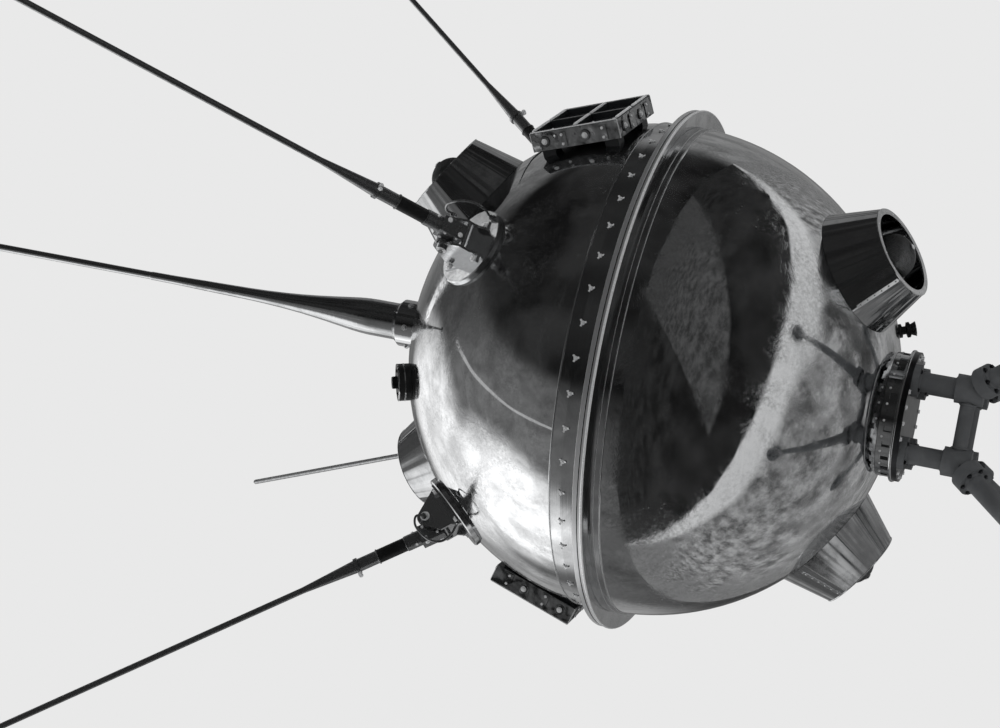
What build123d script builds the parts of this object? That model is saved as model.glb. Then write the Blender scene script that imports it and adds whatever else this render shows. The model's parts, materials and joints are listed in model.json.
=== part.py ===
from build123d import *
import os
from math import acos, atan2, cos, degrees, hypot, radians, sin, sqrt

# Spherical space probe on its display stand, in millimetres.
# +Z points up along the polar axis of the sphere, the floor is Z = 0, and the
# stand, the boom and the ring of four whip antennas share the Z axis.

# Sphere and where it stands
SPHERE_R = 600.0          # outer radius of the pressure sphere
SHELL_WALL = 4.0
CENTRE_Z = 1500.0         # height of the sphere's centre above the floor
SEAT = 0.3                # gap left between a fitting and the curved skin it sits on

# Ring frames that join the two half shells, heights counted from the centre
SPLIT_Z = -22.0           # plane where the two frames meet
UPPER_BAND_Z = 60.0       # where the upper shell meets its frame
LOWER_BAND_Z = -62.0      # where the lower shell meets its frame
FLANGE_OUT = 39.0         # flanges beyond the skin
FLANGE_T = 11.0
BAND_PROUD = 1.5          # the frames' outer bands above the skin
BAND_BEVEL = 3.0
FRAME_DEPTH = 14.0        # from the skin to the frames' inner face
GASKET_T = 2.0
LEDGE_IN = 34.0           # inner ledge that carries the deck, from the frame's inner face
LEDGE_T = 8.0
LEDGE_DROP = 12.0         # from the lower flange's top face to the ledge

# Instruments inside, as one plain mass on a round deck
DECK_T = 8.0
DECK_CLEAR = 0.3
BLOCK_R = 230.0
BLOCK_H = 300.0

# Boom on the upper pole
SOCKET_R = 60.0
SOCKET_H = 76.0           # above the skin at the pole
SOCKET_BEVEL = 9.0
BOOM_FOOT_R = 47.0
BOOM_CLEAR = 0.3          # between the boom's foot and the socket's bore
BOOM_SEAT_H = 40.0        # where the boom's foot stands in the socket, above the skin
BOOM_PROFILE = [          # height above the skin, radius of the tapered tube
    (145.0, 47.0),
    (231.0, 39.5),
    (348.0, 25.5),
    (492.0, 16.5),
    (642.0, 13.5),
    (800.0, 11.0),
]
BOOM_TUBE_R = 10.0
BOOM_H = 1600.0           # tube's end above the skin
SENSOR_R = 30.0
SENSOR_L = 190.0

# Four folding whip antennas
WHIPS = [                 # number, azimuth, splay from the vertical as each one was set
    (1, -65.7, 40.5),
    (2, 24.3, 38.5),
    (3, 114.3, 38.0),
    (4, 204.3, 39.0),
]
WHIP_POLAR = 54.4         # where the antenna's axis meets the skin, degrees from the upper pole
BRACKET_POLAR = 52.0      # middle of the bracket under it
DISC_R = 96.0             # round plate under each bracket
DISC_TOP = 6.0            # its face above the skin at the middle
DISC_BEVEL = 2.5
EAR_T = 6.0
EAR_GAP = 60.0            # between the two ears
EAR_TIP_R = 21.0          # round top of an ear, about the hinge pin
EAR_INNER_X = -68.0       # ends of an ear's foot; minus is towards the upper pole
EAR_OUTER_X = 50.0
EAR_TOE_H = 12.0
EAR_SHOULDER = (33.0, 54.0)     # corners of the outer edge
EAR_WAIST = (37.0, 26.0)
FLANGE_W = 24.0           # foot of an ear, bent outwards
FOOT_FLANGE_T = 4.0
WEB_T = 4.0               # end plate between the ears
WEB_H = 30.0
PIVOT_OUT = 74.0          # hinge pin from the skin, along the antenna
PIVOT_IN = 27.0           # and from the antenna's axis, towards the upper pole
PIN_R = 6.0
PIN_CLEAR = 0.05
PIN_OUT = 12.0            # pin beyond an ear
PIN_NUT_R = 12.0
PIN_NUT_T = 6.0
EYE_R = 18.0
EYE_SIDE_CLEAR = 0.5
FOOT_T = 46.0             # block that carries the antenna
FOOT_W = 40.0
FOOT_LOW = -26.0          # its ends from the hinge pin, along the antenna
FOOT_HIGH = 33.0
FOOT_BEVEL = 3.0
COLLAR_R = 19.0
COLLAR_TOP = 68.0         # from the hinge pin
STOP_R = 5.0              # bar across the ears that the block rests on
STOP_X = 40.0             # bar from the hinge pin, square to the antenna
STOP_CLEAR = 0.3
SLEEVE_R = 17.0
SLEEVE_L = 78.0
ROOT_R = 16.0
ROOT_L = 58.0             # straight part of the root
ROOT_CONE_L = 140.0
CLAMP_R = 19.5            # clamp ring between the root's two parts
CLAMP_L = 9.0
ROD_R = 7.5
WHIP_TIP = 1513.0         # tip of the antenna from the hinge pin

# Four ion traps: name, polar angle, azimuth
TRAPS = [
    (1, 38.5, -30.0),
    (2, 33.0, 160.5),
    (3, 144.0, -28.0),
    (4, 144.0, 159.0),
]
TRAP_BASE_R = 142.0
TRAP_MOUTH_R = 108.0
TRAP_HOLE_R = 95.0
TRAP_H = 101.0            # mouth above the sphere
TRAP_WALL = 3.0
GRID_R = 52.0
GRID_DROP = 26.0          # centre of the grid's dome below the mouth
GRID_RIM = 5.0            # ledge round the dome
GRID_STEM_R = 36.0
GRID_BOSS_R = 9.0
GRID_BOSS_H = 2.0

# Two impact sensor boxes: name, polar angle, azimuth, turn about its own middle
BOXES = [
    (1, 71.8, -24.6, -3.0),
    (2, 71.5, 168.5, -1.5),
]
BOX_SIDE = 223.0
BOX_H = 51.0              # face above the skin
BOX_BODY_H = 46.0
BOX_RIM = 9.0             # frame and ribs round the cells
BOX_CELLS = 2             # cells each way
BOX_RECESS = 14.0
BOX_FOOT = 34.0           # square feet under the corners
BOX_FOOT_IN = 14.0        # foot from the box's side

# Small connectors: polar angle, azimuth
FORWARD_CONNECTOR = (29.0, 241.0)
AFT_CONNECTOR = (157.0, 31.0)

# Ring and plate at the lower pole
AFT_RING_R = 148.0
AFT_RING_BORE = 134.0
AFT_RING_OUT = 22.0       # its lower face beyond the skin at the pole
AFT_RING_IN = 60.0        # wall inside that height, before it is cut to the skin
AFT_RIM_R = 157.0
AFT_RIM_T = 8.0
AFT_PLATE_T = 12.0
RING_SLOTS = 24
SLOT_W = 14.0
SLOT_H = 18.0

# Stand
TUBE_R = 23.0
POST_SPACING = 170.0      # between posts, and between the nodes of the head frame
HEAD_DROP = 165.0         # from the skin at the lower pole to the head frame's middle
NODE_R = 34.0
NODE_H = 64.0
CROSS_R = 17.0
LEG_SPLAY = 45.0
LEG_START = 52.0          # first flange of a leg from the node's middle
COUPLING_R = 38.0
COUPLING_T = 16.0
PAD_R = 90.0
PAD_T = 12.0
ANCHOR_OUT = 58.0         # anchor hole from the middle of the pad
ANCHOR_R = 7.0

# Places that follow from the sizes above, counted from the sphere's centre
FLANGE_R = SPHERE_R + FLANGE_OUT
FRAME_INNER_R = SPHERE_R - FRAME_DEPTH
LEDGE_R = FRAME_INNER_R - LEDGE_IN
SOCKET_TOP = SPHERE_R + SOCKET_H
BOOM_SEAT = SPHERE_R + BOOM_SEAT_H
BOOM_TOP = SPHERE_R + BOOM_H
AFT_RING_Z = -SPHERE_R - AFT_RING_OUT
HEAD_Z = -SPHERE_R - HEAD_DROP

BIG = 3000.0              # size of the blocks that only trim other solids
centre = Vector(0, 0, CENTRE_Z)


def direction(polar, azimuth):
    """Unit vector from the sphere's centre."""
    p, a = radians(polar), radians(azimuth)
    return Vector(sin(p) * cos(a), sin(p) * sin(a), cos(p))


def skin_plane(polar, azimuth):
    """Plane on the skin: z points out, x points away from the upper pole."""
    p, a = radians(polar), radians(azimuth)
    out = direction(polar, azimuth)
    away = Vector(cos(p) * cos(a), cos(p) * sin(a), -sin(p))
    return Plane(origin=centre + out * SPHERE_R, x_dir=away, z_dir=out)


def ring(profile_points):
    """Solid of revolution about the polar axis; points are (radius, height from the centre)."""
    face = make_face(Polyline(*[(r, 0, z) for r, z in profile_points], close=True))
    return Pos(0, 0, CENTRE_Z) * revolve(face, Axis.Z, 360)


def ball(radius):
    return Pos(0, 0, CENTRE_Z) * Sphere(radius)


def on_skin(shape, polar, azimuth):
    """Put a shape made about the local z axis on the skin, and shape its foot to the sphere."""
    placed = skin_plane(polar, azimuth).location * shape
    return placed - ball(SPHERE_R + SEAT)


def sphere_r_at(z):
    return sqrt(SPHERE_R**2 - z**2)


def band_r_at(z):
    return sphere_r_at(z) + BAND_PROUD


def half_shells():
    hollow = ball(SPHERE_R) - ball(SPHERE_R - SHELL_WALL)
    upper_cut = Pos(0, 0, CENTRE_Z + UPPER_BAND_Z + BIG / 2) * Box(BIG, BIG, BIG)
    lower_cut = Pos(0, 0, CENTRE_Z + LOWER_BAND_Z - BIG / 2) * Box(BIG, BIG, BIG)
    return hollow & upper_cut, hollow & lower_cut


def ring_frames():
    """Two frames with outward flanges and bands that stand a little proud of the skin."""
    upper_low = SPLIT_Z + GASKET_T / 2
    lower_top = SPLIT_Z - GASKET_T / 2
    upper = ring([
        (FRAME_INNER_R, upper_low),
        (FLANGE_R, upper_low),
        (FLANGE_R, upper_low + FLANGE_T),
        (band_r_at(0), upper_low + FLANGE_T),
        (band_r_at(0), 0),
        (band_r_at(UPPER_BAND_Z / 2), UPPER_BAND_Z / 2),
        (band_r_at(UPPER_BAND_Z - BAND_BEVEL), UPPER_BAND_Z - BAND_BEVEL),
        (sphere_r_at(UPPER_BAND_Z), UPPER_BAND_Z),
        (FRAME_INNER_R, UPPER_BAND_Z),
    ])
    ledge_top = lower_top - LEDGE_DROP
    lower = ring([
        (FRAME_INNER_R, lower_top),
        (FLANGE_R, lower_top),
        (FLANGE_R, lower_top - FLANGE_T),
        (band_r_at(lower_top - FLANGE_T), lower_top - FLANGE_T),
        (band_r_at(LOWER_BAND_Z + BAND_BEVEL), LOWER_BAND_Z + BAND_BEVEL),
        (sphere_r_at(LOWER_BAND_Z), LOWER_BAND_Z),
        (FRAME_INNER_R, LOWER_BAND_Z),
        (FRAME_INNER_R, ledge_top - LEDGE_T),
        (LEDGE_R, ledge_top - LEDGE_T),
        (LEDGE_R, ledge_top),
        (FRAME_INNER_R, ledge_top),
    ])
    gasket = ring([
        (FRAME_INNER_R, lower_top),
        (FLANGE_R - GASKET_T, lower_top),
        (FLANGE_R - GASKET_T, upper_low),
        (FRAME_INNER_R, upper_low),
    ])
    deck_z = CENTRE_Z + ledge_top + DECK_T / 2
    deck = Pos(0, 0, deck_z) * Cylinder(FRAME_INNER_R - DECK_CLEAR, DECK_T)
    block = Pos(0, 0, deck_z + DECK_T / 2 + BLOCK_H / 2) * Cylinder(BLOCK_R, BLOCK_H)
    return upper, lower, gasket, deck, block


def boom():
    """Bevelled socket, the horn-shaped boom that stands in it, and the sensor on its end."""
    bore = BOOM_FOOT_R + BOOM_CLEAR
    socket = ring([
        (0, SPHERE_R - SOCKET_R / 2),
        (SOCKET_R, SPHERE_R - SOCKET_R / 2),
        (SOCKET_R, SOCKET_TOP - SOCKET_BEVEL),
        (SOCKET_R - SOCKET_BEVEL, SOCKET_TOP),
        (bore, SOCKET_TOP),
        (bore, BOOM_SEAT),
        (0, BOOM_SEAT),
    ])
    socket = socket - ball(SPHERE_R + SEAT)
    tip = BOOM_TOP
    knots = [(r, 0, SPHERE_R + h) for h, r in BOOM_PROFILE]
    horn = Spline(*knots, tangents=[(0, 0, 1), (0, 0, 1)])
    last = BOOM_PROFILE[-1]
    outline = Curve() + [
        Polyline((0, 0, BOOM_SEAT), (BOOM_FOOT_R, 0, BOOM_SEAT), knots[0]),
        horn,
        Polyline(
            knots[-1],
            (BOOM_TUBE_R, 0, SPHERE_R + last[0] + 4),
            (BOOM_TUBE_R, 0, tip),
            (0, 0, tip),
            (0, 0, BOOM_SEAT),
        ),
    ]
    mast = Pos(0, 0, CENTRE_Z) * revolve(make_face(outline), Axis.Z, 360)
    sensor = ring([
        (0, tip),
        (SENSOR_R - 8, tip),
        (SENSOR_R, tip + 8),
        (SENSOR_R, tip + SENSOR_L - 12),
        (SENSOR_R - 12, tip + SENSOR_L),
        (0, tip + SENSOR_L),
    ])
    return socket, mast, sensor


def whip_plane(splay):
    """Plane at the hinge pin of an antenna on azimuth 0: z along the antenna, y along the pin."""
    s = radians(splay)
    along = Vector(sin(s), 0, cos(s))
    across = Vector(cos(s), 0, -sin(s))
    base = centre + direction(WHIP_POLAR, 0) * SPHERE_R
    return Plane(origin=base + along * PIVOT_OUT - across * PIVOT_IN, x_dir=across, z_dir=along)


def pin_cylinder(radius, length):
    """Cylinder along local y, on the hinge pin."""
    return Rot(90, 0, 0) * Cylinder(radius, length)


def pivot(splay):
    """Hinge pin in the skin's own frame at a bracket's middle."""
    spot = skin_plane(BRACKET_POLAR, 0).to_local_coords(whip_plane(splay).origin)
    return spot.X, spot.Z


def ear_shape(splay):
    """One ear of a bracket, in the plane y = 0: broad foot, stepped outer edge and round top."""
    x, z = pivot(splay)
    side = degrees(atan2(EAR_TOE_H - z, EAR_INNER_X - x))
    reach = hypot(EAR_INNER_X - x, EAR_TOE_H - z)
    touch = radians(side - degrees(acos(EAR_TIP_R / reach)))
    left = (x + EAR_TIP_R * cos(touch), 0, z + EAR_TIP_R * sin(touch))
    lean = radians(45)
    right = (x + EAR_TIP_R * cos(lean), 0, z + EAR_TIP_R * sin(lean))
    top = (x, 0, z + EAR_TIP_R)
    edge = Curve() + [
        Polyline(
            right,
            (EAR_SHOULDER[0], 0, EAR_SHOULDER[1]),
            (EAR_WAIST[0], 0, EAR_WAIST[1]),
            (EAR_OUTER_X, 0, EAR_TOE_H),
            (EAR_OUTER_X, 0, 0),
            (EAR_INNER_X, 0, 0),
            (EAR_INNER_X, 0, EAR_TOE_H),
            left,
        ),
        ThreePointArc(left, top, right),
    ]
    return extrude(make_face(edge), EAR_T / 2, both=True)


def antenna_base(splay):
    """Round plate with two ears, the end plate between them, the hinge pin and the stop bar."""
    x, z = pivot(splay)
    plate = Pos(0, 0, DISC_TOP - DISC_R / 4) * Cylinder(DISC_R, DISC_R / 2)
    plate = chamfer(plate.edges().filter_by(GeomType.CIRCLE).sort_by(Axis.Z)[-1], DISC_BEVEL)
    ear = ear_shape(splay)
    offset = (EAR_GAP + EAR_T) / 2
    at_pin = Pos(x, 0, z) * Rot(0, splay - BRACKET_POLAR, 0)
    body = plate
    foot_l = EAR_OUTER_X - EAR_INNER_X
    foot_x = (EAR_OUTER_X + EAR_INNER_X) / 2
    nut_y = EAR_GAP / 2 + EAR_T + PIN_NUT_T / 2
    for side in (-1, 1):
        foot_y = side * (EAR_GAP / 2 + FLANGE_W / 2)
        foot = Pos(foot_x, foot_y, DISC_TOP + FOOT_FLANGE_T / 2) * Box(foot_l, FLANGE_W, FOOT_FLANGE_T)
        body = body + Pos(0, side * offset, 0) * ear + foot
        body = body + at_pin * Pos(0, side * nut_y, 0) * pin_cylinder(PIN_NUT_R, PIN_NUT_T)
    web_x = EAR_WAIST[0] - WEB_T / 2 - 1
    body = body + Pos(web_x, 0, DISC_TOP + WEB_H / 2) * Box(WEB_T, EAR_GAP + EAR_T, WEB_H)
    stop_z = FOOT_LOW - STOP_CLEAR - STOP_R
    body = body + at_pin * Pos(STOP_X, 0, stop_z) * pin_cylinder(STOP_R, EAR_GAP + EAR_T)
    body = body + at_pin * pin_cylinder(PIN_R, EAR_GAP + 2 * (EAR_T + PIN_OUT))
    return on_skin(body, BRACKET_POLAR, 0)


def antenna_moving(splay):
    """Block with its eye and collar, black sleeve, and the rod, all placed from the hinge pin."""
    eye_w = EAR_GAP - 2 * EYE_SIDE_CLEAR
    middle = (FOOT_LOW + FOOT_HIGH) / 2
    block = Pos(PIVOT_IN, 0, middle) * Box(FOOT_T, FOOT_W, FOOT_HIGH - FOOT_LOW)
    block = chamfer(block.edges().filter_by(Axis.Z), FOOT_BEVEL)
    collar_l = COLLAR_TOP - FOOT_HIGH
    foot = block + pin_cylinder(EYE_R, eye_w)
    foot = foot + Pos(PIVOT_IN, 0, FOOT_HIGH + collar_l / 2) * Cylinder(COLLAR_R, collar_l)
    foot = foot - pin_cylinder(PIN_R + PIN_CLEAR, EAR_GAP + EAR_T)
    sleeve = Pos(PIVOT_IN, 0, COLLAR_TOP + SLEEVE_L / 2) * Cylinder(SLEEVE_R, SLEEVE_L)
    root_z = COLLAR_TOP + SLEEVE_L
    clamp_z = root_z + ROOT_L
    cone_z = clamp_z + ROOT_CONE_L
    half = make_face(Polyline(
        (0, 0, root_z),
        (ROOT_R, 0, root_z),
        (ROOT_R, 0, clamp_z - CLAMP_L),
        (CLAMP_R, 0, clamp_z - CLAMP_L),
        (CLAMP_R, 0, clamp_z),
        (ROOT_R, 0, clamp_z),
        (ROD_R, 0, cone_z),
        (ROD_R, 0, WHIP_TIP - ROD_R),
        (ROD_R * 0.7, 0, WHIP_TIP - ROD_R * 0.3),
        (0, 0, WHIP_TIP),
        close=True,
    ))
    rod = Pos(PIVOT_IN, 0, 0) * revolve(half, Axis.Z, 360)
    place = whip_plane(splay).location
    return place * foot, place * sleeve, place * rod


def trap_solids(polar, azimuth):
    """Tapered shroud with an inward lip, and the round grid inside on its stem."""
    slope = (TRAP_BASE_R - TRAP_MOUTH_R) / TRAP_H
    deep = -40.0
    low_r = TRAP_BASE_R - slope * deep
    shroud_face = make_face(Polyline(
        (low_r, 0, deep),
        (TRAP_MOUTH_R, 0, TRAP_H),
        (TRAP_HOLE_R, 0, TRAP_H),
        (TRAP_HOLE_R, 0, TRAP_H - TRAP_WALL),
        (TRAP_MOUTH_R - TRAP_WALL, 0, TRAP_H - TRAP_WALL),
        (low_r - TRAP_WALL, 0, deep),
        close=True,
    ))
    shroud = on_skin(revolve(shroud_face, Axis.Z, 360), polar, azimuth)
    dome_z = TRAP_H - GRID_DROP
    dome = Pos(0, 0, dome_z) * Sphere(GRID_R)
    dome = dome - Pos(0, 0, dome_z - BIG / 2) * Box(BIG, BIG, BIG)
    boss_top = dome_z + GRID_R + GRID_BOSS_H
    boss = Pos(0, 0, (dome_z + boss_top) / 2) * Cylinder(GRID_BOSS_R, boss_top - dome_z)
    rim = Pos(0, 0, dome_z - GRID_RIM) * Cylinder(GRID_R + GRID_RIM, 2 * GRID_RIM)
    stem = Pos(0, 0, (dome_z + deep) / 2) * Cylinder(GRID_STEM_R, dome_z - deep)
    grid = on_skin(dome + boss + rim + stem, polar, azimuth)
    return shroud, grid


def impact_box(polar, azimuth, turn):
    """Flat box with recessed cells in its face, on four feet cut to the skin."""
    body = Pos(0, 0, BOX_H - BOX_BODY_H / 2) * Box(BOX_SIDE, BOX_SIDE, BOX_BODY_H)
    pitch = (BOX_SIDE - BOX_RIM) / BOX_CELLS
    cell = pitch - BOX_RIM
    for i in range(BOX_CELLS):
        for j in range(BOX_CELLS):
            x = (i - (BOX_CELLS - 1) / 2) * pitch
            y = (j - (BOX_CELLS - 1) / 2) * pitch
            body = body - Pos(x, y, BOX_H) * Box(cell, cell, 2 * BOX_RECESS)
    out = BOX_SIDE / 2 - BOX_FOOT_IN - BOX_FOOT / 2
    for x, y in ((out, out), (-out, out), (-out, -out), (out, -out)):
        body = body + Pos(x, y, 0) * Box(BOX_FOOT, BOX_FOOT, 2 * (BOX_H - BOX_BODY_H))
        body = body + Pos(x, y, -BOX_FOOT / 2) * Box(BOX_FOOT, BOX_FOOT, BOX_FOOT)
    return on_skin(Rot(0, 0, turn) * body, polar, azimuth)


def connectors():
    forward = Pos(0, 0, 5) * Cylinder(45, 50) + Pos(0, 0, 36) * Cylinder(14, 14)
    flare = make_face(Polyline(
        (0, 0, -10), (17, 0, -10), (17, 0, 10), (10, 0, 12), (10, 0, 20), (18, 0, 22),
        (18, 0, 30), (13, 0, 32), (18, 0, 44), (0, 0, 44), close=True
    ))
    aft = revolve(flare, Axis.Z, 360)
    return on_skin(forward, *FORWARD_CONNECTOR), on_skin(aft, *AFT_CONNECTOR)


def aft_fitting():
    """Ring with slots round its wall, and the plate that closes it."""
    low = AFT_RING_Z
    body = ring([
        (AFT_RING_BORE, AFT_RING_IN - SPHERE_R),
        (AFT_RING_R, AFT_RING_IN - SPHERE_R),
        (AFT_RING_R, low + AFT_RIM_T),
        (AFT_RIM_R, low + AFT_RIM_T),
        (AFT_RIM_R, low),
        (AFT_RING_BORE, low),
    ])
    body = body - ball(SPHERE_R + SEAT)
    slot_z = CENTRE_Z + low + AFT_RIM_T + SLOT_H / 2 + 2
    for i in range(RING_SLOTS):
        turn = Rot(0, 0, 360.0 * i / RING_SLOTS)
        body = body - turn * Pos(AFT_RING_R, 0, slot_z) * Box(12, SLOT_W, SLOT_H)
    plate = Pos(0, 0, CENTRE_Z + low - AFT_PLATE_T / 2) * Cylinder(AFT_RIM_R - 2, AFT_PLATE_T)
    return body, plate


def stand():
    """Four posts, a square head frame with round nodes, four splayed legs and their pads."""
    half = POST_SPACING / 2
    corners = [(half, half), (-half, half), (-half, -half), (half, -half)]
    post_top = CENTRE_Z + AFT_RING_Z - AFT_PLATE_T
    head = CENTRE_Z + HEAD_Z
    node_top = head + NODE_H / 2
    posts = []
    for x, y in corners:
        post = Pos(x, y, (post_top + node_top) / 2) * Cylinder(TUBE_R, post_top - node_top)
        collar = Pos(x, y, post_top - COUPLING_T / 2) * Cylinder(COUPLING_R, COUPLING_T)
        posts.append(post + collar)
    frame = None
    for x, y in corners:
        node = Pos(x, y, head) * Cylinder(NODE_R, NODE_H)
        frame = node if frame is None else frame + node
    for sign in (-1, 1):
        frame = frame + Pos(0, sign * half, head) * Rot(0, 90, 0) * Cylinder(CROSS_R, POST_SPACING)
        frame = frame + Pos(sign * half, 0, head) * Rot(90, 0, 0) * Cylinder(CROSS_R, POST_SPACING)
    s = radians(LEG_SPLAY)
    node_rho = half * sqrt(2)
    drop = head - PAD_T
    foot_rho = node_rho + drop * sin(s) / cos(s)
    leg_len = drop / cos(s)
    floor_cut = Pos(0, 0, PAD_T + BIG / 2) * Box(BIG, BIG, BIG)
    legs, pads = [], []
    for i in range(4):
        turn = Rot(0, 0, 45 + 90 * i)
        down = Vector(sin(s), 0, -cos(s))
        start = Vector(node_rho, 0, head)
        place = Plane(origin=start, x_dir=Vector(cos(s), 0, sin(s)), z_dir=down).location
        tube = Pos(0, 0, (LEG_START + leg_len + 60) / 2) * Cylinder(TUBE_R, leg_len + 60 - LEG_START)
        coupling = Pos(0, 0, LEG_START + COUPLING_T / 2) * Cylinder(COUPLING_R, COUPLING_T)
        legs.append(turn * ((place * (tube + coupling)) & floor_cut))
        stub = Pos(0, 0, LEG_START / 2) * Cylinder(TUBE_R, LEG_START)
        stub = stub + Pos(0, 0, LEG_START - COUPLING_T / 2) * Cylinder(COUPLING_R, COUPLING_T)
        frame = frame + turn * (place * stub)
        pad = Pos(foot_rho, 0, PAD_T / 2) * Cylinder(PAD_R, PAD_T)
        pad = pad - Pos(foot_rho + ANCHOR_OUT, 0, PAD_T / 2) * Cylinder(ANCHOR_R, PAD_T + 4)
        pads.append(turn * pad)
    print("anchor circle diameter", 2 * (foot_rho + ANCHOR_OUT))
    return Compound(children=posts), frame, legs, Compound(children=pads)


def save(name, shape):
    export_step(shape, "parts/" + name + ".step")


os.makedirs("parts", exist_ok=True)

upper_shell, lower_shell = half_shells()
save("upper_half_shell", upper_shell)
save("lower_half_shell", lower_shell)

frame_names = ["upper_frame_ring", "lower_frame_ring", "frame_gasket", "instrument_deck", "instrument_block"]
for name, shape in zip(frame_names, ring_frames()):
    save(name, shape)

for name, shape in zip(["boom_socket", "magnetometer_boom", "magnetometer_sensor"], boom()):
    save(name, shape)

for number, azimuth, splay in WHIPS:
    around = Rot(0, 0, azimuth)
    save("antenna_base_%d" % number, around * antenna_base(splay))
    foot_shape, sleeve_shape, rod_shape = antenna_moving(splay)
    save("antenna_foot_%d" % number, around * foot_shape)
    save("antenna_sleeve_%d" % number, around * sleeve_shape)
    save("antenna_rod_%d" % number, around * rod_shape)

for number, polar, azimuth in TRAPS:
    shroud_shape, grid_shape = trap_solids(polar, azimuth)
    save("ion_trap_shroud_%d" % number, shroud_shape)
    save("ion_trap_grid_%d" % number, grid_shape)

for number, polar, azimuth, turn in BOXES:
    save("impact_sensor_%d" % number, impact_box(polar, azimuth, turn))

forward_connector, aft_connector = connectors()
save("forward_connector", forward_connector)
save("aft_connector", aft_connector)

ring_shape, plate_shape = aft_fitting()
save("aft_ring", ring_shape)
save("aft_plate", plate_shape)

post_shapes, head_shape, leg_shapes, pad_shapes = stand()
save("stand_posts", post_shapes)
save("stand_head_frame", head_shape)
for i, leg in enumerate(leg_shapes):
    save("stand_leg_%d" % (i + 1), leg)
save("stand_foot_pads", pad_shapes)
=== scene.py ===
"""Spherical space probe on its display stand.

Finishes, fasteners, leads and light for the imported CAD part.
"""

import json
import math

import bmesh
import bpy
from mathutils import Matrix, Vector


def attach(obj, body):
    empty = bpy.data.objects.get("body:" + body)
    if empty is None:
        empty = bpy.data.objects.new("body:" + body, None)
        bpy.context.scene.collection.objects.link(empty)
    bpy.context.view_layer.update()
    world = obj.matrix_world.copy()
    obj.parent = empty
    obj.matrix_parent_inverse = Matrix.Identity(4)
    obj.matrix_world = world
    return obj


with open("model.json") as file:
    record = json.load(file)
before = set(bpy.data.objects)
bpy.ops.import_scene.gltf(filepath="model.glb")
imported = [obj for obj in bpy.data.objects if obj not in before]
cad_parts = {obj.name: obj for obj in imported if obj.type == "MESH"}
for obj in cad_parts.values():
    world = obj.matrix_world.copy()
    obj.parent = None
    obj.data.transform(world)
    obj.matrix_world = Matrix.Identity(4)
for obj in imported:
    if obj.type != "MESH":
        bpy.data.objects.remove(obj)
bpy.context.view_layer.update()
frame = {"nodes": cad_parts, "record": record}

# Sizes below are the CAD part's own, in millimetres; place matrices turn them to metres.
MM = 0.001
CENTRE = Vector((0, 0, 1.5))        # centre of the sphere, in metres
SPHERE_R = 600.0
BAND_PROUD = 1.5            # ring frames above the skin
BAND_SCREW_Z = 28.0         # screw row of the upper ring frame above the centre
BAND_SCREWS = 48
FLANGE_R = 639.5            # lit rim, just outside the flanges

# Boom, its sensor and the lower pole: heights from the sphere's centre
SOCKET_BOLTS_Z = 640.0
SOCKET_TOP = 676.0
SENSOR_FOOT_Z = 2188.0
SENSOR_BANDS = (2226.0, 2280.0, 2352.0)
AFT_RING_Z = -622.0
AFT_PLATE_Z = -634.0

# Connectors: polar angle and azimuth
FORWARD_CONNECTOR = (29.0, 241.0)
AFT_CONNECTOR = (157.0, 31.0)

# Each antenna: number, azimuth and splay from the boom, in degrees
WHIPS = [(1, -65.7, 40.5), (2, 24.3, 38.5), (3, 114.3, 38.0), (4, 204.3, 39.0)]
WHIP_POLAR = 54.4
BRACKET_POLAR = 52.0
PIN_OUT = 74.0              # hinge pin from the skin, along the antenna
PIN_BACK = 27.0             # hinge pin behind the antenna's axis
CLAMP_Z = 199.5             # clamp ring from the pin, along the antenna
SLEEVE_ENDS = (68.0, 142.5)     # black sleeve, from the pin too

# Each ion trap: number, polar angle and azimuth
TRAPS = [(1, 38.5, -30.0), (2, 33.0, 160.5), (3, 144.0, -28.0), (4, 144.0, 159.0)]
TRAP_BASE_R = 142.0
TRAP_MOUTH_R = 108.0
TRAP_HEIGHT = 101.0
SEAM_TURNS = {1: 60, 2: 200, 3: 284, 4: 110}    # where each shroud's seam lies
GRID_BASE = 75.0            # foot of the domed grid above the skin
GRID_R = 52.4

# Each impact sensor box: number, polar angle, azimuth and turn
BOXES = [(1, 71.8, -24.6, -3.0), (2, 71.5, 168.5, -1.5)]
BOX_HALF = 111.5            # half the side of the square
BOX_STRIP_Z = 52.6          # strips round the top, above the skin

# Stand: heights from the floor
STAND_HALF = 85.0           # posts from the sphere's axis, along x and y
HEAD_Z = 735.0              # pipes of the head frame
POST_TOP = 866.0
PAD_TOP = 12.0
POST_R = 23.0               # posts and legs
ARM_R = 17.0                # pipes between the posts

AT_CENTRE = Matrix.Translation(CENTRE) @ Matrix.Scale(MM, 4)
ON_FLOOR = Matrix.Scale(MM, 4)
BEAD_ANGLES = [math.radians(a) for a in range(-150, 181, 30)]
BACKDROP = "E9E9E9"


# Shared helpers

def linear(code):
    """sRGB hex code to the linear colour that a socket takes."""
    out = []
    for i in (0, 2, 4):
        c = int(code[i:i + 2], 16) / 255
        out.append(c / 12.92 if c <= 0.04045 else ((c + 0.055) / 1.055) ** 2.4)
    return (*out, 1.0)


def add_node(tree, kind, settings=None, links=None):
    """Adds one node, sets its properties or sockets, and links its inputs."""
    node = tree.nodes.new(kind)
    for name, value in (settings or {}).items():
        if isinstance(name, str) and hasattr(node, name):
            setattr(node, name, value)
        else:
            node.inputs[name].default_value = value
    for name, source in (links or {}).items():
        tree.links.new(source, node.inputs[name])
    return node


def blank_material(name):
    """New material with a Principled surface; returns the material, its tree and the shader."""
    mat = bpy.data.materials.new(name)
    mat.use_nodes = True
    tree = mat.node_tree
    tree.nodes.clear()
    surface = add_node(tree, "ShaderNodeBsdfPrincipled")
    add_node(tree, "ShaderNodeOutputMaterial", links={"Surface": surface.outputs[0]})
    return mat, tree, surface


# Finishes

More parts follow.
